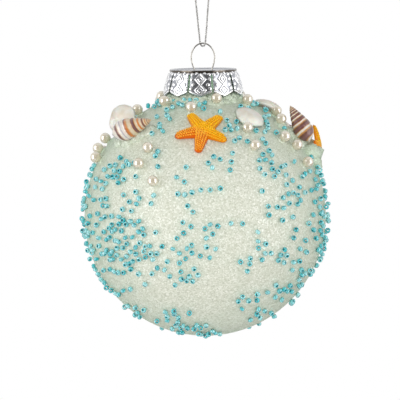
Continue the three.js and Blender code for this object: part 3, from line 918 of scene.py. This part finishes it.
for middle in pearl_spots:
    bed(middle, 1.9 * mm, 0.9 * mm)
for longitude, latitude, *_ in list(clam_places.values()):
    bed(on_ball(longitude, latitude).translation, 5.6 * mm, 1.2 * mm)
for longitude, latitude, *_ in list(starfish_places.values()):
    bed(on_ball(longitude, latitude).translation, 4.6 * mm, 1.1 * mm)
for longitude, latitude, spin, _, size, _ in turret_places.values():
    seat = on_ball(longitude, latitude, 0, spin)
    for share, spread, height in ((-0.3, 3.2, 2.6), (0.0, 3.6, 2.4), (0.28, 2.6, 2.2)):
        bed(seat @ Vector((share * turret_length, 0, 0)), spread * mm, height * mm)
for latitude, low, high in ((74, 2.6, 3.6), (72, 1.4, 2.3)):
    for longitude in range(0, 360, 12):
        foot = on_ball(longitude + chance.uniform(-3, 3), latitude).translation
        bed(foot, chance.uniform(1.8, 2.6) * mm, chance.uniform(low, high) * mm)
glue_lumps = [
    (100, 31, 5.4, 5.0), (96, 25, 4.6, 3.6), (85, 30, 4.0, 5.0), (86, 26, 3.6, 3.4), (90, 29, 3.8, 5.8),
    (70, 47, 2.6, 2.4), (-64, 40, 3.0, 2.0),
]
for longitude, latitude, spread, height in glue_lumps:
    bed(on_ball(longitude, latitude).translation, spread * mm, height * mm)
beds = finished_mesh("glue_beds", bed_bm, frosted_glass)

# The seed beads are short transparent turquoise glass tubes, tumbled smooth. They are strewn on the
# frost in loose groups, most with the hole outwards and the others on their side. A group is given by
# its longitude and latitude, how far it spreads each way, and its number of beads.
bead_radius, bead_height, bead_hole = 1.05 * mm, 1.5 * mm, 0.42 * mm
bead_profile = [
    (bead_hole, -0.5 * mm), (0.68 * mm, -bead_height / 2), (bead_radius, -0.38 * mm),
    (bead_radius, 0.38 * mm), (0.68 * mm, bead_height / 2), (bead_hole, 0.5 * mm),
]
bead_clusters = [
    (-71, 13, 9, 8, 10), (-72, -7, 8, 11, 13), (-47, 28, 8, 2, 8), (-53, 21, 9, 3, 10),
    (-47, 10, 9, 4, 9), (-32, 12, 7, 3, 5), (-55, 0, 9, 4, 9), (-40, 0, 7, 3, 9),
    (-28, 0, 5, 3, 5), (-48, -13, 9, 6, 18), (-34, -12, 8, 4, 17), (-50, -23, 8, 2, 6),
    (-68, -32, 12, 5, 6), (-48, -37, 12, 8, 4), (-61, -49, 14, 6, 8), (-24, -51, 10, 6, 13),
    (-12, -65, 20, 7, 13), (-15, -22, 10, 4, 12), (-10, -13, 6, 4, 7), (1, -12, 2, 3, 5),
    (-9, 6, 4, 9, 9), (0, 0, 4, 3, 4), (14, 1, 3, 1, 2), (10, 28, 7, 5, 7),
    (-13, 25, 6, 5, 4), (35, 27, 8, 4, 11), (35, 34, 5, 4, 5), (47, 14, 8, 5, 17),
    (39, 6, 6, 3, 6), (69, 15, 12, 10, 12), (74, -7, 11, 11, 14), (58, -10, 16, 8, 15),
    (28, -9, 3, 5, 5), (39, -15, 6, 3, 6), (42, -36, 17, 4, 16), (20, -18, 3, 3, 5),
    (40, -50, 13, 6, 7), (61, -26, 15, 6, 8), (-25, 33, 6, 3, 2), (3, 17, 4, 1, 3),
    (-45, 47, 12, 3, 3), (-37, 69, 20, 4, 9), (21, 47, 7, 6, 9), (46, 52, 10, 7, 10),
    (-4, 69, 12, 5, 7), (75, 62, 12, 6, 5), (88, 20, 5, 10, 7), (88, -12, 4, 12, 10),
    (80, -40, 9, 7, 7), (-88, 4, 4, 12, 12), (-84, -20, 6, 8, 8), (-86, 22, 5, 4, 3),
    (-32, 57, 6, 8, 8), (120, 68, 50, 4, 12), (-120, 68, 50, 4, 10),
]
bead_total = 700
bead_spacing = 2.1 * mm
cluster_spread = 0.75
tries_a_bead = 8
chance = Random(11)
bead_spots = []


def try_bead(longitude, latitude):
    """Takes the place for a bead where it is free, and says so."""
    spot = on_ball(longitude, latitude)
    ground = (spot.translation - ball_middle).normalized() * ball_radius
    free = all((ground - other).length > bead_spacing for other, _ in bead_spots)
    free = free and all((ground - other).length > radius + 0.3 * mm for other, radius in keep_clear)
    if free:
        bead_spots.append((ground, (longitude, latitude)))
    return free


for longitude, latitude, wide, tall, count in bead_clusters:
    for _ in range(tries_a_bead * count):
        if count:
            east, north = wide * chance.gauss(0, cluster_spread), tall * chance.gauss(0, cluster_spread)
            count -= try_bead(longitude + east, latitude + north)
for _ in range(62):
    longitude, latitude = chance.uniform(102, 258), chance.uniform(-70, 66)
    heading = chance.uniform(0, 2 * pi)
    for k in range(chance.randint(3, 9)):
        step = 2.4 * k + chance.uniform(-0.6, 0.6)
        east = step * cos(heading) / max(0.2, cos(radians(latitude)))
        try_bead(longitude + east, latitude + step * sin(heading))
while len(bead_spots) < bead_total:
    try_bead(chance.uniform(95, 265), chance.uniform(-78, 70))

aqua_glass = plain_material(
    "aqua_glass", (0.3, 0.8, 0.82, 1), 0.1, Transmission_Weight=0.3, IOR=1.5, Coat_Weight=1.0,
    Coat_Roughness=0.08, Coat_IOR=1.8,
)
tone_and_hole_shade = node(aqua_glass, "Attribute", attribute_name="tone_and_hole_shade")
# The darkest teal is painted shade on the walls of the holes; the lighter ones are the beads' own random
# tones.
feed(
    aqua_glass,
    shader_of(aqua_glass).inputs["Base Color"],
    colour_steps(
        aqua_glass, tone_and_hole_shade.outputs["Fac"],
        (0.0, (0.0, 0.12, 0.17)), (0.2, (0.0, 0.38, 0.44)), (0.45, (0.02, 0.63, 0.69)),
        (1.0, (0.46, 0.97, 0.98)),
    ),
)
bead_bm = bmesh.new()
spun(bead_bm, bead_profile, 10)
ring_edges = [edge for edge in bead_bm.edges if edge.is_boundary]
bmesh.ops.bridge_loops(bead_bm, edges=ring_edges)
bmesh.ops.recalc_face_normals(bead_bm, faces=bead_bm.faces)
bead_mesh = bpy.data.meshes.new("bead")
bead_bm.to_mesh(bead_mesh)
in_hole = [hypot(vert.co.x, vert.co.y) < bead_hole * 1.1 for vert in bead_mesh.vertices]
bead_bm.free()
strewn = bmesh.new()
tones_and_hole_shades = []
for ground, (longitude, latitude) in bead_spots:
    upright = chance.random() < 0.6
    lean = chance.uniform(0, 38) if upright else chance.uniform(55, 90)
    height = (bead_height / 2 if lean < 45 else bead_radius) + 0.15 * mm
    seat = on_ball(longitude, latitude, height, chance.uniform(0, 360), 0, lean)
    one = bead_mesh.copy()
    one.transform(seat @ Matrix.Scale(chance.uniform(0.93, 1.05), 4))
    strewn.from_mesh(one)
    bpy.data.meshes.remove(one)
    tone = chance.uniform(0.45, 1.0)
    # The wall of each hole gets the darkest teal, a painted shade; the rest of each bead has its own random
    # tone.
    tones_and_hole_shades += [0.08 if hollow else tone for hollow in in_hole]
seed_beads = finished_mesh("seed_beads", strewn, aqua_glass)
seed_beads.data.attributes.new("tone_and_hole_shade", "FLOAT", "POINT").data.foreach_set("value", tones_and_hole_shades)
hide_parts(*[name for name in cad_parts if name.startswith("bead_drift_")])

# The bauble hangs in a white studio, with a pale floor well below it. On each side a tall soft light
# falls on the surfaces and a second one is only mirrored in them. A light in front and one behind fill
# in. The surround is plain white to the camera, but gives less light, and it darkens towards the front
# where it is mirrored.
floor_bm = bmesh.new()
bmesh.ops.create_grid(floor_bm, x_segments=1, y_segments=1, size=2.4, matrix=Matrix.Translation((0, 0, -1.0)))
floor_mesh = bpy.data.meshes.new("floor")
floor_bm.to_mesh(floor_mesh)
floor_bm.free()
floor = bpy.data.objects.new("floor", floor_mesh)
floor_mesh.materials.append(plain_material("studio_floor", (0.86, 0.86, 0.86, 1), 0.8))
bpy.context.scene.collection.objects.link(floor)


def soft_light(name, azimuth, elevation, distance, width, height, power):
    data = bpy.data.lights.new(name, "AREA")
    data.shape, data.size, data.size_y, data.energy = "RECTANGLE", width, height, power
    light = bpy.data.objects.new(name, data)
    a, e = radians(azimuth), radians(elevation)
    away = Vector((sin(a) * cos(e), -cos(a) * cos(e), sin(e)))
    light.matrix_world = away.to_track_quat("Z", "Y").to_matrix().to_4x4()
    light.location = ball_middle + away * distance
    bpy.context.scene.collection.objects.link(light)
    return light


for name, azimuth, power in (("left", -68, 5.1), ("right", 68, 3.5)):
    fill = soft_light(f"{name}_fill", azimuth, 4, 1.0, 0.9, 1.5, power)
    fill.visible_glossy = False
    box = soft_light(f"{name}_softbox", 0.88 * azimuth, 4, 0.9, 0.65, 1.2, 6.5)
    box.visible_diffuse = False
front = soft_light("front_fill", 0, 10, 1.6, 0.7, 0.7, 14.5)
front.visible_glossy = False
back = soft_light("back_fill", 180, 12, 1.6, 0.9, 0.9, 11.0)
back.visible_glossy = False

world = bpy.data.worlds.new("white_surround")
bpy.context.scene.world = world
world.use_nodes = True
surround = world.node_tree.nodes["Background"]
surround.inputs["Color"].default_value = (1, 1, 1, 1)
direction = node(world, "SeparateXYZ", {"Vector": node(world, "TexCoord").outputs["Generated"]}).outputs["Y"]
mirrored = node(
    world, "MapRange", {"Value": direction, "From Min": -0.8, "From Max": 0.1, "To Min": 0.2, "To Max": 1.0},
).outputs["Result"]
path = node(world, "LightPath")
soft = node(world, "Mix", {0: path.outputs["Is Diffuse Ray"], 2: mirrored, 3: 0.25}).outputs[0]
strength = node(world, "Mix", {0: path.outputs["Is Camera Ray"], 2: soft, 3: 1.0}).outputs[0]
feed(world, surround.inputs["Strength"], strength)
bpy.context.scene.view_settings.view_transform = "Standard"
